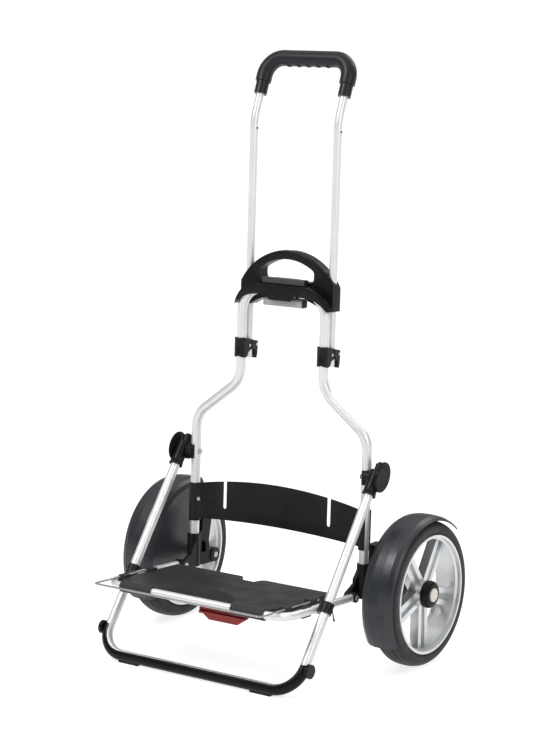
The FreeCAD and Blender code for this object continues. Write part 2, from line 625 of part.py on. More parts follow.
ahead = -mm("leg_offset")
foot_s = (LEG_PIVOT.z + mm("leg_offset") * math.sin(LEG_TURN) - mm("foot_height")) / math.cos(LEG_TURN)
leg_top = -6
foot_corner = mm("foot_corner")
leg_path = bent_path([Vector(-LEG_X, ahead, leg_top), Vector(-LEG_X, ahead, -foot_s),
                      Vector(LEG_X, ahead, -foot_s), Vector(LEG_X, ahead, leg_top)],
                     [foot_corner, foot_corner])
leg_shape = tube(leg_path, LEG_R, mm("tube_wall"))
bolt_room = cross_rod(BOLT_R + 1.5, -300, 300, 0, 0)
keep("leg_tube", leg_shape.cut(bolt_room), LEG)

SOCKET_IN = FRAME_X + 16.8
SOCKET_OUT = LEG_X + 13.2
BUTTON_Y, BUTTON_R = -8, 6.5
disc = cross_rod(19, SOCKET_IN, SOCKET_OUT, 0, 0)
neck = rod(13, Vector(LEG_X, ahead, 10), Vector(LEG_X, ahead, -33))
mouth = Part.makeCone(13, 14.5, 9, Vector(LEG_X, ahead, -32.9), Vector(0, 0, -1))
collar = rod(9.6, Vector(LEG_X, BUTTON_Y, 8), Vector(LEG_X, BUTTON_Y, 26))
trim = box(Vector(SOCKET_IN - 10, -60, -80), Vector(SOCKET_IN, 60, 60))
socket = disc.fuse([neck, mouth, collar]).cut([
    trim, bar(leg_path, LEG_R + SEAT), cross_rod(BOLT_R + mm("running_fit"), 200, 300, 0, 0),
    rod(BUTTON_R + LOOSE, Vector(LEG_X, BUTTON_Y, 18), Vector(LEG_X, BUTTON_Y, 40))])
cover_in, cover_out = SOCKET_OUT + 0.2, SOCKET_OUT + 4.6
COVER_HIGH, COVER_WIDE = 31, 25
oval = Part.Ellipse(Vector(cover_in, ahead + 1, 0), COVER_HIGH, COVER_WIDE)
oval_edge = oval.toShape()
oval_edge.rotate(Vector(cover_in, ahead + 1, 0), Vector(0, 1, 0), 90)
cover = Part.Face(Part.Wire(oval_edge)).extrude(Vector(cover_out - cover_in, 0, 0))
if cover.BoundBox.ZLength < cover.BoundBox.YLength:
    cover.rotate(Vector(cover_in, ahead + 1, 0), Vector(1, 0, 0), 90)
cover = cover.makeFillet(2, [edge for edge in cover.Edges if edge.BoundBox.XMin > cover_out - 0.1])
button = rod(BUTTON_R, Vector(LEG_X, BUTTON_Y, 21.5), Vector(LEG_X, BUTTON_Y, 30.5))
button = button.makeFillet(1.5, [edge for edge in button.Edges if edge.BoundBox.ZMin > 30])
for name, side in SIDES.items():
    keep(f"leg_socket_{name}", mirrored(socket.removeSplitter(), side), LEG)
    keep(f"knob_cover_{name}", mirrored(cover, side), LEG)
    keep(f"lock_button_{name}", mirrored(button, side), LEG)

cover_s = foot_s - mm("cover_height") / math.cos(LEG_TURN)
foot_path = bent_path([Vector(-LEG_X, ahead, -cover_s), Vector(-LEG_X, ahead, -foot_s),
                       Vector(LEG_X, ahead, -foot_s), Vector(LEG_X, ahead, -cover_s)],
                      [foot_corner - 0.5, foot_corner - 0.5])
channel_in, channel_out = LEG_R + SEAT, LEG_R + SEAT + mm("cover_wall")
start = Vector(-LEG_X, ahead, -cover_s)
foot_cover = swept(foot_path, channel_profile(start, Vector(-1, 0, 0), Vector(0, 1, 0),
                                              channel_in, channel_out, 105))
DISC_Z = -cover_s - 7
for side in SIDES.values():
    near, far = sorted((side * (LEG_X + LEG_R - 0.3), side * (LEG_X + LEG_R + 7.8)))
    foot_cover = foot_cover.fuse(cross_rod(13.7, near, far, ahead, DISC_Z))
foot_cover = foot_cover.cut(bar(leg_path, channel_in)).removeSplitter()
keep("foot_cover", foot_cover, LEG)

foot_y = LEG.multVec(Vector(0, ahead, -foot_s)).y
pads = []
for side in SIDES.values():
    x = side * mm("foot_pad_offset")
    half = mm("foot_pad_length") / 2
    pad = box(Vector(x - half, foot_y - 7, 0), Vector(x + half, foot_y + 7, 5))
    pads.append(pad.cut(cross_rod(channel_out + 0.1, x - half - 1, x + half + 1, foot_y, mm("foot_height"))))
keep("foot_pads", Part.makeCompound(pads))

reach = mm("clip_reach")
clip = rod(12.6, Vector(LEG_X, ahead, -reach - 11), Vector(LEG_X, ahead, -reach + 11))
clip = clip.cut(rod(LEG_R + SEAT, Vector(LEG_X, ahead, -reach - 20), Vector(LEG_X, ahead, -reach + 20)))
clip = moved(clip, LEG)
deck_line = [DECK.multVec(Vector(PLATFORM_X, -y, 0)) for y in (60, 200)]
centre = LEG.multVec(Vector(LEG_X, ahead, -reach))
cradle_arm = box(Vector(PLATFORM_X - 7, ahead - 9, -reach - 11),
                 Vector(LEG_X - 4, ahead + 9, -reach + 11))
cradle_arm = moved(cradle_arm, LEG)
leg_bore = rod(LEG_R + SEAT, Vector(LEG_X, ahead, -reach - 60), Vector(LEG_X, ahead, -reach + 60))
leg_bore = moved(leg_bore, LEG)
above = box(Vector(PLATFORM_X - 30, -400, -1), Vector(PLATFORM_X + DECK_R + 1.2, 0, 60))
above = moved(above, DECK)
deck_room = rod(DECK_R + LOOSE, *deck_line)
cradle_arm = cradle_arm.cut([leg_bore, above, deck_room])
hook = rod(1.2, centre + Vector(13.3, -4, 10), centre + Vector(13.3, 6, -22))
hook = hook.fuse(rod(1.9, centre + Vector(13.3, 5.4, -20), centre + Vector(13.3, 6.6, -24)))
clip = clip.fuse([cradle_arm, hook]).cut(leg_bore).removeSplitter()
for name, side in SIDES.items():
    keep(f"leg_clip_{name}", mirrored(clip, side))

# ---------------------------------------------------------------- platform (deck coordinates)

length = mm("platform_length")
corner = mm("platform_corner")
EYE_R = 9.7
tube_rear = -EYE_R - 0.6
deck_path = bent_path([Vector(-PLATFORM_X, tube_rear, 0), Vector(-PLATFORM_X, -length, 0),
                       Vector(PLATFORM_X, -length, 0), Vector(PLATFORM_X, tube_rear, 0)], [corner, corner])
keep("platform_tube", tube(deck_path, DECK_R, mm("tube_wall")), DECK)

eye = cross_rod(EYE_R, PLATFORM_X - DECK_R, PLATFORM_X + DECK_R, 0, 0)
eye = eye.fuse(rod(DECK_R - mm("tube_wall") - SEAT, Vector(PLATFORM_X, -4, 0), Vector(PLATFORM_X, -28, 0)))
eye = eye.cut(cross_rod(PIN_R + mm("running_fit"), 200, 230, 0, 0)).removeSplitter()
for name, side in SIDES.items():
    keep(f"platform_eye_{name}", mirrored(eye, side), DECK)

plate_x, plate_wall = mm("plate_half_width"), mm("plate_wall")
plate_top, plate_rear = mm("plate_top"), mm("plate_rear")
bar_half, wrap_end = mm("bar_half_length"), mm("wrap_end")
front = -length + 1
outline = [(-plate_x, -plate_rear - 22), (-plate_x + 8, -plate_rear - 14), (-28, -plate_rear - 14),
           (-22, -plate_rear - 20), (-18, -plate_rear - 40), (18, -plate_rear - 40),
           (22, -plate_rear - 20), (28, -plate_rear - 14), (plate_x - 8, -plate_rear - 14),
           (plate_x, -plate_rear - 22), (plate_x, front + 36), (wrap_end, front), (-wrap_end, front),
           (-plate_x, front + 36)]
plate = prism([Vector(x, y, plate_top - plate_wall) for x, y in outline], Vector(0, 0, plate_wall))
RIM_DROP = 14
rim = prism([Vector(x, y, plate_top - RIM_DROP) for x, y in outline], Vector(0, 0, RIM_DROP))
inner = [(-plate_x + 3, front + 38), (-plate_x + 3, -plate_rear - 23), (-plate_x + 10, -plate_rear - 17),
         (-30, -plate_rear - 17), (-25, -plate_rear - 22), (-20.5, -plate_rear - 43),
         (20.5, -plate_rear - 43), (25, -plate_rear - 22), (30, -plate_rear - 17),
         (plate_x - 10, -plate_rear - 17), (plate_x - 3, -plate_rear - 23), (plate_x - 3, front + 38),
         (plate_x - 5, front + 30), (wrap_end - 2, front + 13),
         (-wrap_end + 2, front + 13), (-plate_x + 5, front + 30)]
rim = rim.cut(prism([Vector(x, y, plate_top - RIM_DROP - 1) for x, y in inner], Vector(0, 0, RIM_DROP)))
plate = plate.fuse(rim)
scoop_depth = mm("scoop_depth")
scoop_r = (bar_half ** 2 + scoop_depth ** 2) / (2 * scoop_depth)
scoop_centre = Vector(0, -length + scoop_depth - scoop_r, 0)
FLOOR_DROP = 9
dish = Part.makeCone(scoop_r - 9, scoop_r + 1, FLOOR_DROP + 1,
                     scoop_centre + Vector(0, 0, plate_top - FLOOR_DROP), Vector(0, 0, 1))
dish_shell = Part.makeCone(scoop_r - 6, scoop_r + 3, FLOOR_DROP + 2,
                           scoop_centre + Vector(0, 0, plate_top - FLOOR_DROP - 2.5), Vector(0, 0, 1))
behind_bar = box(Vector(-plate_x, -length, -20), Vector(plate_x, 0, plate_top))
for x in (-120, -60, 0, 60, 120):
    rib_front = front + (29 if abs(x) > bar_half else 70)
    plate = plate.fuse(box(Vector(x - 1.5, rib_front, plate_top - 11),
                           Vector(x + 1.5, -plate_rear - (44 if x == 0 else 18), plate_top - 1)))
for side in SIDES.values():
    near, far = sorted((side * (bar_half + 4), side * wrap_end))
    wrap = cross_rod(DECK_R + 3.2, near, far, -length, 0)
    shelf = box(Vector(near, -length, 0), Vector(far, front + 34, plate_top))
    plate = plate.fuse([wrap, shelf])
    strap = rod(DECK_R + 2.8, Vector(side * PLATFORM_X, -178, 0), Vector(side * PLATFORM_X, -150, 0))
    lug_low, lug_high = sorted((side * (plate_x - 3), side * (PLATFORM_X - 4)))
    strap = strap.fuse(box(Vector(lug_low, -178, -6), Vector(lug_high, -150, 4)))
    plate = plate.fuse(strap)
plate = plate.cut(bar(deck_path, DECK_R + SEAT))
for side in SIDES.values():
    near, far = sorted((side * (PLATFORM_X + 2), side * (PLATFORM_X + 14)))
    plate = plate.cut(box(Vector(near, -190, -30), Vector(far, -140, 30)))
plate = plate.fuse(dish_shell.common(behind_bar)).cut(dish)
in_front = box(Vector(-bar_half, -length - 30, -30), Vector(bar_half, -length + 1, 30))
plate = plate.cut(in_front)
plate = plate.fuse(Part.makeCone(3, 2, 1, Vector(0, -118, plate_top), Vector(0, 0, 1)))
PEDAL_Y = -134
HINGE_Z = -7
lugs = []
for x in (-66, 66):
    lug = box(Vector(x - 2.5, PEDAL_Y - 6, HINGE_Z),
              Vector(x + 2.5, PEDAL_Y + 6, plate_top - plate_wall + 0.5))
    lugs.append(lug.fuse(cross_rod(6, x - 2.5, x + 2.5, PEDAL_Y, HINGE_Z)))
plate = plate.fuse(lugs).cut(cross_rod(2 + SEAT, -80, 80, PEDAL_Y, HINGE_Z))
pedal_room = box(Vector(-63.2, PEDAL_Y - 9, HINGE_Z - 7), Vector(63.2, PEDAL_Y + 9, plate_top - plate_wall))
plate = plate.cut(pedal_room)

wire_x, wire_z = mm("wire_half_width"), mm("wire_height")
wire_front, wire_rear = -mm("wire_reach"), -mm("wire_rear")
wire_path = bent_path([Vector(-wire_x, wire_rear, wire_z), Vector(-wire_x, wire_front, wire_z),
                       Vector(wire_x, wire_front, wire_z), Vector(wire_x, wire_rear, wire_z)], [8, 8])
keep("extension_wire", bar(wire_path, WIRE_R), DECK)
for side in SIDES.values():
    for y in (-120, -205):
        low_x, high_x = sorted((side * (plate_x - 3), side * (wire_x + 4)))
        guide_lug = box(Vector(low_x, y - 9, 1), Vector(high_x, y + 9, wire_z + 4))
        plate = plate.fuse(guide_lug)
    plate = plate.cut(rod(WIRE_R + mm("running_fit"), Vector(side * wire_x, -80, wire_z),
                          Vector(side * wire_x, -260, wire_z)))
plate = plate.cut(bar(deck_path, DECK_R + SEAT))
keep("platform_plate", plate.removeSplitter(), DECK)

pedal = prism([Vector(x, PEDAL_Y - 2.5, z) for x, z in
               ((-60, HINGE_Z), (60, HINGE_Z), (58, -46), (34, -62), (-34, -62), (-58, -46))],
              Vector(0, 5, 0))
tread = prism([Vector(-55, PEDAL_Y - 9, -46), Vector(-55, PEDAL_Y + 2.5, -43),
               Vector(-55, PEDAL_Y + 2.5, -48), Vector(-55, PEDAL_Y - 9, -50)], Vector(110, 0, 0))
pedal = pedal.fuse([cross_rod(5, -60, 60, PEDAL_Y, HINGE_Z), tread])
pedal = pedal.cut(cross_rod(2 + mm("running_fit"), -80, 80, PEDAL_Y, HINGE_Z))
keep("red_pedal", pedal.removeSplitter(), DECK)
pin_place = Placement(Vector(-70, PEDAL_Y, HINGE_Z), Rotation(Vector(0, 1, 0), 90))
placed("pedal_pin", "Cylinder", DECK.multiply(pin_place), Radius=size("wire") / 2, Height=fixed(140))

# ---------------------------------------------------------------- wheels

wheel_r = size("wheel_diameter") / 2
half_tyre = size("tyre_width") / 2
rim_r = size("rim_diameter") / 2
TYRE_SHAPE = ((-0.86, 0), (-1, 4), (-1, 13), (-0.92, 20), (-0.72, 24.3), (-0.4, 26), (0, 26.4), (0.4, 26),
              (0.72, 24.3), (0.92, 20), (1, 13), (1, 4), (0.86, 0))
tyre_depth = (wheel_r - rim_r - 1) / 26.4
tyre_corners = [(half_tyre * across, rim_r + 1 + tyre_depth * up) for across, up in TYRE_SHAPE]
rim_wall = mm("rim_wall")
RIM_R = mm("rim_diameter") / 2
lip_x = mm("tyre_width") / 2 + 1
rim_outline = [(lip_x, RIM_R), (lip_x, RIM_R - rim_wall), (lip_x - 7, RIM_R - rim_wall),
               (lip_x - 10, RIM_R - rim_wall - 4), (10 - lip_x, RIM_R - rim_wall - 4),
               (7 - lip_x, RIM_R - rim_wall), (-lip_x, RIM_R - rim_wall), (-lip_x, RIM_R),
               (5 - lip_x, RIM_R + 0.85), (lip_x - 5, RIM_R + 0.85)]
wheel_rim = spin([(WHEEL_X + x, r) for x, r in rim_outline], AXLE, 0, 360)
hub_r = mm("hub_radius")
HUB_IN, HUB_OUT = -22, 18
wheel_rim = wheel_rim.fuse(cross_rod(hub_r, WHEEL_X + HUB_IN, WHEEL_X + HUB_OUT, AXLE_Y, WHEEL_R))
SPOKES = 5
rib_w, rib_gap = mm("spoke_width"), mm("spoke_gap")
SPOKE_TURN = 37


def side_spoke(half, low_x, high_x, middle=0):
    """One upright rib from the hub to the rim, thicker towards the rim."""
    foot, head = WHEEL_R + hub_r - 6, WHEEL_R + RIM_R - rim_wall - 2
    points = [(middle - half, foot), (middle + half, foot), (middle * 1.2 + half, head),
              (middle * 1.2 - half, head)]
    return side_plate(points, WHEEL_X + low_x, WHEEL_X + high_x)


for index in range(SPOKES):
    arm = side_spoke(rib_gap / 2 + 1, -4, 4)
    for sign in (-1, 1):
        middle = sign * (rib_gap + rib_w) / 2
        arm = arm.fuse(side_spoke(rib_w / 2, -9, 10, middle))
    arm.rotate(AXLE, Vector(1, 0, 0), index * 360 / SPOKES + SPOKE_TURN)
    wheel_rim = wheel_rim.fuse(arm)
bearing_r, bearing_w = mm("bearing_diameter") / 2, mm("bearing_width")
wheel_rim = wheel_rim.cut([
    cross_rod(mm("axle_diameter") / 2 + 1, WHEEL_X - 40, WHEEL_X + 40, AXLE_Y, WHEEL_R),
    cross_rod(bearing_r + 0.05, WHEEL_X + HUB_IN - 1, WHEEL_X + HUB_IN + bearing_w, AXLE_Y, WHEEL_R),
    cross_rod(bearing_r + 0.05, WHEEL_X + HUB_OUT - bearing_w, WHEEL_X + HUB_OUT + 1, AXLE_Y, WHEEL_R)])
wheel_rim = wheel_rim.removeSplitter()

outer_ring, inner_ring = size("bearing_diameter") / 2, axle_r + size("running_fit")
cap_r, disc_r = size("hub_cap_radius"), size("hub_disc_radius")
cap_corners = [(fixed(18.2), fixed(12)), (fixed(18.2), cap_r), (fixed(27), cap_r), (fixed(31), cap_r - 2),
               (fixed(34), cap_r - 6), (fixed(34.5), disc_r + 3), (fixed(33), disc_r + 2), (fixed(33), fixed(0)),
               (fixed(30), fixed(0)), (fixed(30), fixed(12))]
disc_corners = [(fixed(33.1), fixed(0)), (fixed(33.1), disc_r), (fixed(35.5), disc_r),
                (fixed(36.5), disc_r - 1.5), (fixed(36.5), fixed(0))]
for name, side in SIDES.items():
    hub_place = Placement(AXLE + Vector(side * WHEEL_X, 0, 0), facing(side))
    turned(f"tyre_{name}", tyre_corners, hub_place)
    keep(f"wheel_rim_{name}", mirrored(wheel_rim, side))
    turned(f"hub_cap_{name}", cap_corners, hub_place)
    turned(f"hub_disc_{name}", disc_corners, hub_place)
    rings = []
    for low_x in (HUB_IN + 0.1, HUB_OUT - bearing_w + 0.1):
        start_x = WHEEL_X + low_x
        ring = cross_rod(float(outer_ring), start_x, start_x + bearing_w - 0.2, AXLE_Y, WHEEL_R)
        rings.append(ring.cut(cross_rod(float(inner_ring), start_x - 1, start_x + bearing_w, AXLE_Y, WHEEL_R)))
    keep(f"wheel_bearings_{name}", mirrored(Part.makeCompound(rings), side))

# ---------------------------------------------------------------- check and write out

doc.recompute()
helpers = ("Sketcher::SketchObject", "PartDesign::Revolution", "PartDesign::Pad", "Spreadsheet::Sheet")
os.makedirs("parts", exist_ok=True)
for item in doc.Objects:
    if "Invalid" in item.State or "Error" in item.State:
        raise RuntimeError(f"{item.Label} did not build")
    if not hasattr(item, "Shape") or item.TypeId in helpers or item.TypeId.startswith("App::"):
        continue
    if item.Shape.isNull() or not item.Shape.isValid():
        raise RuntimeError(f"{item.Label} has no sound shape")
    item.Shape.exportStep(f"parts/{item.Label}.step")
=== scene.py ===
import json
import math

import bmesh
import bpy
from mathutils import Matrix, Vector


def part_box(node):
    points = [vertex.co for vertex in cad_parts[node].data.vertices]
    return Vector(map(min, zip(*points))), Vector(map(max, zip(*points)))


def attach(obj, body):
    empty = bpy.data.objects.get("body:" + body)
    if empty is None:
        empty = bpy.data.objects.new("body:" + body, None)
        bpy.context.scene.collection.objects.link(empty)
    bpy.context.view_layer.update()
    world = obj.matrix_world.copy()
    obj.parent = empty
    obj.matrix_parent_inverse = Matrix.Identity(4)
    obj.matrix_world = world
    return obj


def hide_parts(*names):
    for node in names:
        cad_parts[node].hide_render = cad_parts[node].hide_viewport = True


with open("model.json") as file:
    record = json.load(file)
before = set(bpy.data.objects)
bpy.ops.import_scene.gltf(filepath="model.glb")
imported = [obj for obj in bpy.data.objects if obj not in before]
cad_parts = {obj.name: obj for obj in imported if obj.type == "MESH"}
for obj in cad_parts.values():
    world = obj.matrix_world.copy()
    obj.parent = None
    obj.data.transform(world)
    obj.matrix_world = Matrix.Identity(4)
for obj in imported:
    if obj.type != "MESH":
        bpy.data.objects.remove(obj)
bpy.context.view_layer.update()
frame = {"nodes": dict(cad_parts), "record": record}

# Looks of a folding two-wheeled cart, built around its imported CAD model. Lengths in metres.

NODES = frame["nodes"]
JOINTS = {joint["name"]: joint for joint in frame["record"]["behaviour"]["joints"]}
SIDES = {"left": -1, "right": 1}

# ---------------------------------------------------------------- materials

EDGE_RANGE = (0.52, 0.62)
EDGE_WEAR = 0.35


class Shader:
    """A node material with helpers for procedural detail in object coordinates."""

    def __init__(self, name):
        self.material = bpy.data.materials.new(name)
        self.material.use_nodes = True
        self.nodes = self.material.node_tree.nodes
        self.links = self.material.node_tree.links
        self.surface = self.nodes["Principled BSDF"]
        self.place = self.nodes.new("ShaderNodeTexCoord").outputs["Object"]

    def stretched(self, scale):
        mapping = self.nodes.new("ShaderNodeMapping")
        mapping.inputs["Scale"].default_value = scale
        self.links.new(self.place, mapping.inputs["Vector"])
        return mapping.outputs["Vector"]

    def noise(self, scale, detail=4.0, roughness=0.55, stretch=(1, 1, 1)):
        node = self.nodes.new("ShaderNodeTexNoise")
        node.inputs["Scale"].default_value = scale
        node.inputs["Detail"].default_value = detail
        node.inputs["Roughness"].default_value = roughness
        self.links.new(self.stretched(stretch), node.inputs["Vector"])
        return node.outputs["Fac"]

    def cells(self, scale):
        node = self.nodes.new("ShaderNodeTexVoronoi")
        node.inputs["Scale"].default_value = scale
        self.links.new(self.place, node.inputs["Vector"])
        return node.outputs["Distance"]

    def ranged(self, value, low, high, start=0.3, end=0.7):
        node = self.nodes.new("ShaderNodeMapRange")
        node.inputs["From Min"].default_value = start
        node.inputs["From Max"].default_value = end
        node.inputs["To Min"].default_value = low
        node.inputs["To Max"].default_value = high
        self.links.new(value, node.inputs["Value"])
        return node.outputs["Result"]

    def mixed(self, value, first, second):
        """Between two colours, by a value from 0 to 1."""
        node = self.nodes.new("ShaderNodeMix")
        node.data_type = "RGBA"
        node.inputs["A"].default_value = (*first, 1)
        node.inputs["B"].default_value = (*second, 1)
        self.links.new(value, node.inputs["Factor"])
        return node.outputs["Result"]

    def layered(self, value, below, above):
        """A colour laid over another colour output where the value is high."""
        node = self.nodes.new("ShaderNodeMix")
        node.data_type = "RGBA"
        self.links.new(below, node.inputs["A"])
        node.inputs["B"].default_value = (*above, 1)
        self.links.new(value, node.inputs["Factor"])
        return node.outputs["Result"]

    def edges(self, strength):
        """High along raised edges, where a surface wears."""
        geometry = self.nodes.new("ShaderNodeNewGeometry")
        return self.ranged(geometry.outputs["Pointiness"], 0.0, strength, *EDGE_RANGE)

    def bump(self, height, distance, strength, under=None):
        node = self.nodes.new("ShaderNodeBump")
        node.inputs["Distance"].default_value = distance
        node.inputs["Strength"].default_value = strength
        self.links.new(height, node.inputs["Height"])
        if under is not None:
            self.links.new(under, node.inputs["Normal"])
        return node.outputs["Normal"]

    def drive(self, socket, output):
        self.links.new(output, self.surface.inputs[socket])

    def put(self, **values):
        for name, value in values.items():
            self.surface.inputs[name.replace("_", " ")].default_value = value


def moulded_plastic(name, dark, light, roughness=0.38, grain=900.0, specular=0.13, worn=None,
                    smear_stretch=(1, 1, 1)):
    """Satin injection-moulded plastic: fine spark grain, faint flow marks, paler worn edges."""
    shader = Shader(name)
    flow = shader.noise(7.0, 3.0)
    colour = shader.mixed(shader.ranged(flow, 0.0, 1.0), dark, light)
    if worn is not None:
        colour = shader.layered(shader.edges(EDGE_WEAR), colour, worn)
    shader.drive("Base Color", colour)
    smear = shader.noise(24.0, 5.0, stretch=smear_stretch)
    shader.drive("Roughness", shader.ranged(smear, roughness - 0.06, roughness + 0.1))
    fine = shader.bump(shader.noise(grain, 2.0), 0.00012, 0.35)
    shader.drive("Normal", shader.bump(shader.cells(grain * 0.6), 0.0001, 0.25, fine))
    shader.put(Specular_IOR_Level=specular)
    return shader.material


def drawn_metal(name, dark, light, roughness=0.4, stretch=(1, 1, 0.06), metallic=0.6,
                streak_scale=240.0, relief=0.00003):
    """Bright metal: fine streaks, drawn out along a tube by stretch, over a soft cloudy sheen."""
    shader = Shader(name)
    streak = shader.noise(streak_scale, 2.0, 0.5, stretch)
    cloud = shader.noise(9.0, 4.0)
    base = shader.mixed(shader.ranged(cloud, 0.0, 1.0), dark, light)
    tint = tuple(channel * 0.9 for channel in dark)
    shader.drive("Base Color", shader.layered(shader.ranged(streak, 0.0, 0.5, 0.5, 0.8), base, tint))
    shader.drive("Roughness", shader.ranged(streak, roughness - 0.03, roughness + 0.05))
    shader.drive("Normal", shader.bump(streak, relief, 0.15))
    shader.put(Metallic=metallic)
    return shader.material


def soft_rubber(name, dark, light, roughness=0.62, grain=700.0):
    """Matt rubber with a dusty bloom and a fine pebble."""
    shader = Shader(name)
    dust = shader.noise(16.0, 6.0, 0.65)
    shader.drive("Base Color", shader.mixed(shader.ranged(dust, 0.0, 1.0, 0.35, 0.75), dark, light))
    shader.drive("Roughness", shader.ranged(shader.noise(40.0, 4.0), roughness - 0.08, roughness + 0.1))
    pebble = shader.bump(shader.cells(grain), 0.0002, 0.3)
    shader.drive("Normal", shader.bump(shader.noise(grain * 1.6, 2.0), 0.0001, 0.4, pebble))
    shader.put(Sheen_Weight=0.05, Sheen_Roughness=0.5, Specular_IOR_Level=0.25)
    return shader.material


def floor_finish():
    shader = Shader("studio_floor")
    tone = shader.ranged(shader.noise(1.3, 3.0), 0.0, 1.0)
    shader.drive("Base Color", shader.mixed(tone, (0.36, 0.36, 0.36), (0.4, 0.4, 0.4)))
    shader.put(Roughness=0.7, Specular_IOR_Level=0.1, Emission_Color=(1, 1, 1, 1), Emission_Strength=0.8)
    return shader.material


FINISHES = {
    "tube_aluminium": drawn_metal("tube_aluminium", (0.68, 0.68, 0.67), (0.74, 0.74, 0.73)),
    "handle_aluminium": drawn_metal("handle_aluminium", (0.66, 0.66, 0.65), (0.72, 0.72, 0.71), 0.36),
    "wire_steel": drawn_metal("wire_steel", (0.26, 0.26, 0.26), (0.36, 0.36, 0.36), 0.3, (0.06, 1, 1)),
    "pin_steel": drawn_metal("pin_steel", (0.36, 0.36, 0.36), (0.48, 0.48, 0.48), 0.3, (1, 1, 1)),
    "rim_metal": drawn_metal("rim_metal", (0.6, 0.61, 0.62), (0.68, 0.69, 0.7), 0.3, (1, 1, 1), 0.8,
                             30.0, 0.00001),
    "black_plastic": moulded_plastic("black_plastic", (0.003, 0.003, 0.0035), (0.006, 0.006, 0.007), 0.3,
                                     specular=0.12, worn=(0.03, 0.03, 0.033)),
    "panel_plastic": moulded_plastic("panel_plastic", (0.003, 0.003, 0.0035), (0.006, 0.006, 0.007), 0.28,
                                     specular=0.12, worn=(0.03, 0.03, 0.033), smear_stretch=(2.5, 0, 0.04)),
    "foot_plastic": moulded_plastic("foot_plastic", (0.003, 0.003, 0.004), (0.006, 0.006, 0.007), 0.24,
                                    worn=(0.02, 0.02, 0.022)),
    "deck_plastic": moulded_plastic("deck_plastic", (0.019, 0.02, 0.022), (0.028, 0.029, 0.031), 0.42,
                                    worn=(0.05, 0.05, 0.055)),
    "dark_plastic": moulded_plastic("dark_plastic", (0.055, 0.056, 0.06), (0.08, 0.081, 0.086), 0.38),
    "grey_plastic": moulded_plastic("grey_plastic", (0.3, 0.31, 0.32), (0.38, 0.39, 0.4), 0.36),
    "fender_plastic": moulded_plastic("fender_plastic", (0.012, 0.0145, 0.018), (0.017, 0.02, 0.025), 0.33,
                                      specular=0.45),
    "red_plastic": moulded_plastic("red_plastic", (0.25, 0.028, 0.027), (0.34, 0.042, 0.04), 0.4,
                                   worn=(0.5, 0.13, 0.12)),
    "cream_plastic": moulded_plastic("cream_plastic", (0.56, 0.54, 0.49), (0.68, 0.66, 0.6), 0.33),
    "grip_rubber": soft_rubber("grip_rubber", (0.004, 0.0055, 0.0075), (0.009, 0.011, 0.014), 0.38),
    "foot_rubber": soft_rubber("foot_rubber", (0.006, 0.006, 0.006), (0.014, 0.014, 0.014)),
    "tyre_rubber": soft_rubber("tyre_rubber", (0.01, 0.01, 0.011), (0.019, 0.019, 0.021), 0.55, 500.0),
}

FINISH_OF = {
    "main_frame_tube": "tube_aluminium", "leg_tube": "tube_aluminium", "platform_tube": "tube_aluminium",
    "handle_tube": "handle_aluminium", "extension_wire": "wire_steel", "handle_grip": "grip_rubber",
    "foot_pads": "foot_rubber", "foot_cover": "foot_plastic", "red_pedal": "red_plastic",
    "release_lower_bar": "grey_plastic", "release_upper_bar": "dark_plastic", "release_links": "pin_steel",
    "guide_rivets": "pin_steel", "panel_screws": "pin_steel", "pedal_pin": "pin_steel",
    "platform_plate": "deck_plastic", "back_panel": "panel_plastic",
}
SIDE_FINISH = {
    "tyre": "tyre_rubber", "wheel_rim": "rim_metal", "hub_disc": "cream_plastic",
    "wheel_bearings": "pin_steel", "stub_axle": "pin_steel", "fender": "fender_plastic",
    "leg_pivot_bolt": "pin_steel", "platform_pivot_bolt": "pin_steel",
}


def finish_of(node):
    stem = node.rsplit("_", 1)[0]
    return FINISHES[FINISH_OF.get(node, SIDE_FINISH.get(stem, "black_plastic"))]


for node_name, node_object in NODES.items():
    node_object.data.materials.clear()
    node_object.data.materials.append(finish_of(node_name))


# ---------------------------------------------------------------- mesh helpers


def piece(name, mesh, body, finish, replaced=(), smooth_angle=35):
    shown = bpy.data.objects.new(name, mesh)
    bpy.context.scene.collection.objects.link(shown)
    mesh.materials.append(FINISHES[finish])
    for polygon in mesh.polygons:
        polygon.use_smooth = True
    mesh.set_sharp_from_angle(angle=math.radians(smooth_angle))
    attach(shown, body)
    if replaced:
        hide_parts(*replaced)
    return shown


def finished(build, name):
    bmesh.ops.recalc_face_normals(build, faces=build.faces)
    mesh = bpy.data.meshes.new(name)
    build.to_mesh(mesh)
    build.free()
    return mesh


def lathe(name, profile, centre, steps):
    """Mesh turned about the x axis through a centre from a closed loop of (x, radius) points."""
    build = bmesh.new()
    rings = []
    for step in range(steps):
        angle = 2 * math.pi * step / steps
        rings.append([build.verts.new((x, centre.y + radius * math.cos(angle),
                                       centre.z + radius * math.sin(angle))) for x, radius in profile])
    for step in range(steps):
        here, there = rings[step], rings[(step + 1) % steps]
        for index in range(len(profile)):
            follow = (index + 1) % len(profile)
            build.faces.new((here[index], here[follow], there[follow], there[index]))
    return finished(build, name)


# ---------------------------------------------------------------- tyres

TREAD_GROOVES = (-0.011, 0.0, 0.011)
GROOVE_HALF = 0.0011
GROOVE_DEPTH = 0.0016
PROFILE_STEPS = 72
TYRE_STEPS = 160
SHOULDER_SHARE = 0.42
BULGE_WIDTH_POWER, BULGE_ROUNDNESS = 2.6, 2.2
RIM_GAP = 0.0002


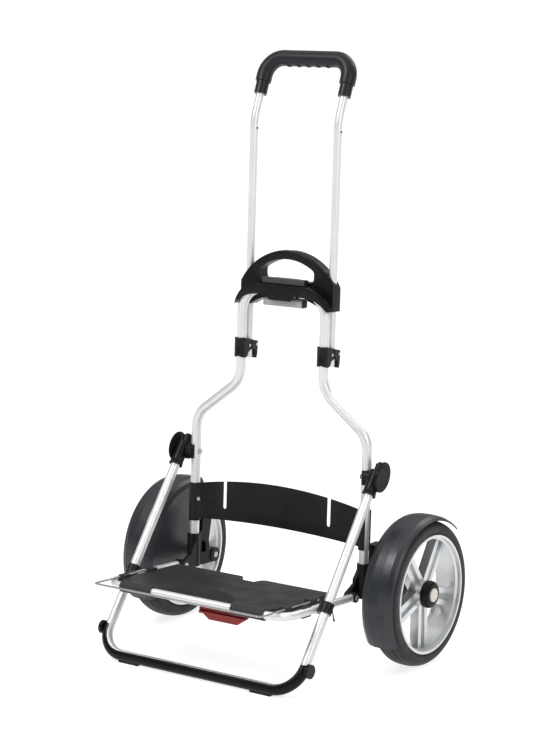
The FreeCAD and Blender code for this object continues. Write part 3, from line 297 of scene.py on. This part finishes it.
def tyre_profile(low_x, high_x, inner, outer):
    """Rounded section with tread grooves, closed by a bead on each side."""
    middle = (low_x + high_x) / 2
    half = (high_x - low_x) / 2
    drop = outer - inner
    points = []
    for index in range(PROFILE_STEPS + 1):
        across = -math.cos(math.pi * index / PROFILE_STEPS)
        bulge = (1 - abs(across) ** BULGE_WIDTH_POWER) ** (1 / BULGE_ROUNDNESS)
        x = across * half
        depth = 0.0
        for groove in TREAD_GROOVES:
            if abs(x - groove) < GROOVE_HALF:
                depth = GROOVE_DEPTH
        radius = inner + drop * (SHOULDER_SHARE + (1 - SHOULDER_SHARE) * bulge) - depth
        points.append((middle + x, radius))
    bead = [(middle + half * 0.99, inner + drop * 0.16), (middle + half * 0.88, inner)]
    other = [(2 * middle - x, radius) for x, radius in reversed(bead)]
    return points + bead + other


def add_tyre(side_name):
    low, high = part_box(f"tyre_{side_name}")
    centre = Vector(((low[0] + high[0]) / 2, (low[1] + high[1]) / 2, (low[2] + high[2]) / 2))
    outer = (high[2] - low[2]) / 2
    rim_low, rim_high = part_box(f"wheel_rim_{side_name}")
    inner = (rim_high[2] - rim_low[2]) / 2 + RIM_GAP
    profile = tyre_profile(low[0], high[0], inner, outer)
    mesh = lathe(f"tyre_skin_{side_name}", profile, centre, TYRE_STEPS)
    piece(f"tyre_skin_{side_name}", mesh, f"wheel_{side_name}", "tyre_rubber",
          (f"tyre_{side_name}",), 30)


for side_name in SIDES:
    add_tyre(side_name)


# ---------------------------------------------------------------- moulded details laid on CAD surfaces


def surface_point(node, start, direction):
    """Where a ray first meets a carried-over CAD node, and the surface's normal there."""
    host = NODES[node]
    inverse = host.matrix_world.inverted()
    turn = inverse.to_3x3()
    hit, place, normal, _ = host.ray_cast(inverse @ Vector(start), (turn @ Vector(direction)).normalized())
    if not hit:
        return None
    return host.matrix_world @ place, (host.matrix_world.to_3x3() @ normal).normalized()


def between(span, share):
    return span[0] + (span[1] - span[0]) * share


def strip(build, path, width, height, across):
    """A low rounded rib along surface points; across is its width direction."""
    section = ((-1.0, -0.25), (-0.75, 0.7), (-0.3, 1.0), (0.3, 1.0), (0.75, 0.7), (1.0, -0.25))
    rings = []
    for place, normal in path:
        side = (across - normal * across.dot(normal)).normalized()
        rings.append([build.verts.new(place + side * (width / 2 * u) + normal * (height * v))
                      for u, v in section])
    for here, there in zip(rings, rings[1:]):
        for index in range(len(section)):
            follow = (index + 1) % len(section)
            build.faces.new((here[index], here[follow], there[follow], there[index]))
    build.faces.new(rings[0])
    build.faces.new(rings[-1])


ARCH_RIB_DEPTHS = (0.3, 0.5, 0.7)
ARCH_RIB_SPAN = (0.012, 0.086)
ARCH_RIB_STEPS = 24
ARCH_RIB_SIZE = (0.0028, 0.0007)
KNOB_RIB_COUNT = 20
KNOB_RIB_STEPS = 6
KNOB_RIB_SPAN = (0.0175, 0.023)
KNOB_RIB_SIZE = (0.0022, 0.0006)
SHORTEST_PATH = 4
RAY_START = 0.05


def add_hood_ribs():
    """Three fine ribs along each side of the arch of the hood."""
    low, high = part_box("hood_cover")
    block_front = (low[1] + high[1]) / 2
    build = bmesh.new()
    for side in SIDES.values():
        for share in ARCH_RIB_DEPTHS:
            y = block_front + (high[1] - block_front) * share
            path = []
            for step in range(ARCH_RIB_STEPS + 1):
                x = side * between(ARCH_RIB_SPAN, step / ARCH_RIB_STEPS)
                found = surface_point("hood_cover", (x, y, high[2] + RAY_START), (0, 0, -1))
                if found and found[1].z > 0.3:
                    path.append(found)
            if len(path) >= SHORTEST_PATH:
                strip(build, path, *ARCH_RIB_SIZE, Vector((0, 1, 0)))
    piece("hood_ribs", finished(build, "hood_ribs"), "frame", "black_plastic")


def add_knob_ribs(side_name):
    """Fluting near the rim of a knob."""
    side = SIDES[side_name]
    node = f"knob_cover_{side_name}"
    low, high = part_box(node)
    middle = Vector((0, (low[1] + high[1]) / 2, (low[2] + high[2]) / 2))
    outside = max(abs(low[0]), abs(high[0])) + 0.02
    build = bmesh.new()
    for index in range(KNOB_RIB_COUNT):
        angle = 2 * math.pi * index / KNOB_RIB_COUNT
        spoke = Vector((0, math.cos(angle), math.sin(angle)))
        path = []
        for step in range(KNOB_RIB_STEPS + 1):
            start = middle + spoke * between(KNOB_RIB_SPAN, step / KNOB_RIB_STEPS)
            found = surface_point(node, (side * outside, start.y, start.z), (-side, 0, 0))
            if found and abs(found[1].x) > 0.5:
                path.append(found)
        if len(path) >= SHORTEST_PATH:
            strip(build, path, *KNOB_RIB_SIZE, spoke.cross(Vector((1, 0, 0))))
    piece(f"knob_ribs_{side_name}", finished(build, f"knob_ribs_{side_name}"), "leg", "black_plastic")


add_hood_ribs()
for side_name in SIDES:
    add_knob_ribs(side_name)


# ---------------------------------------------------------------- floor, lights, camera


FLOOR_HALF = 30.0


def add_floor():
    build = bmesh.new()
    bmesh.ops.create_grid(build, x_segments=1, y_segments=1, size=FLOOR_HALF)
    mesh = bpy.data.meshes.new("studio_floor")
    build.to_mesh(mesh)
    build.free()
    mesh.materials.append(floor_finish())
    floor = bpy.data.objects.new("studio_floor", mesh)
    bpy.context.scene.collection.objects.link(floor)


def add_light(name, place, target, power, width, height):
    lamp = bpy.data.lights.new(name, "AREA")
    lamp.shape = "RECTANGLE"
    lamp.size = width
    lamp.size_y = height
    lamp.energy = power
    holder = bpy.data.objects.new(name, lamp)
    holder.location = place
    holder.rotation_euler = (Vector(target) - Vector(place)).to_track_quat("-Z", "Y").to_euler()
    bpy.context.scene.collection.objects.link(holder)


SKY_CURVE_TOP = 2.0
SKY_STEPS = ((0.0, 1.04), (0.06, 1.04), (0.16, 0.3), (0.5, 0.4), (0.9, 1.15))


def add_world():
    """Soft studio light by height: a white backdrop band, a dim band above it and a bright ceiling."""
    world = bpy.data.worlds.new("studio")
    world.use_nodes = True
    nodes, links = world.node_tree.nodes, world.node_tree.links
    split = nodes.new("ShaderNodeSeparateXYZ")
    links.new(nodes.new("ShaderNodeTexCoord").outputs["Generated"], split.inputs["Vector"])
    curve = nodes.new("ShaderNodeFloatCurve")
    points = curve.mapping.curves[0].points
    while len(points) < len(SKY_STEPS):
        points.new(0.5, 0.5)
    for point, (height, strength) in zip(points, SKY_STEPS):
        point.location = (height, strength / SKY_CURVE_TOP)
    curve.mapping.update()
    links.new(split.outputs["Z"], curve.inputs["Value"])
    scaled = nodes.new("ShaderNodeMath")
    scaled.operation = "MULTIPLY"
    scaled.inputs[1].default_value = SKY_CURVE_TOP
    links.new(curve.outputs["Value"], scaled.inputs[0])
    background = nodes["Background"]
    background.inputs["Color"].default_value = (1, 1, 1, 1)
    links.new(scaled.outputs["Value"], background.inputs["Strength"])
    bpy.context.scene.world = world
    bpy.context.scene.view_settings.view_transform = "Standard"


CAMERA_AZIMUTH, CAMERA_ELEVATION, CAMERA_ROLL = (math.radians(angle) for angle in (34.748, 9.836, 0.481))
CAMERA_LENS = 104.88
AXLE_Y = JOINTS["wheel_spin_right"]["pos_m"][1]
CAMERA_PLACE = Vector((2.4348, -3.5661 + AXLE_Y, 1.2991))


def add_camera():
    """Camera at the height and angle from which the cart is usually pictured."""
    forward = Vector((-math.sin(CAMERA_AZIMUTH) * math.cos(CAMERA_ELEVATION),
                      math.cos(CAMERA_AZIMUTH) * math.cos(CAMERA_ELEVATION), -math.sin(CAMERA_ELEVATION)))
    level = Vector((math.cos(CAMERA_AZIMUTH), math.sin(CAMERA_AZIMUTH), 0))
    upward = level.cross(forward)
    right = level * math.cos(CAMERA_ROLL) + upward * math.sin(CAMERA_ROLL)
    upward = upward * math.cos(CAMERA_ROLL) - level * math.sin(CAMERA_ROLL)
    lens = bpy.data.cameras.new("camera")
    lens.lens = CAMERA_LENS
    lens.sensor_width = 36
    lens.clip_end = 100
    camera = bpy.data.objects.new("camera", lens)
    turn = Matrix((right, upward, -forward)).transposed().to_4x4()
    camera.matrix_world = Matrix.Translation(CAMERA_PLACE) @ turn
    bpy.context.scene.collection.objects.link(camera)
    bpy.context.scene.camera = camera


add_floor()
add_world()
add_light("key_light", (-1.2, -2.4, 3.4), (0, 0, 0.4), 75, 0.9, 0.9)
add_light("side_light", (3.0, -1.0, 2.2), (0, 0, 0.5), 30, 1.6, 2.0)
add_light("back_light", (0.6, 2.8, 3.0), (0, 0, 0.5), 40, 2.4, 1.6)
add_camera()
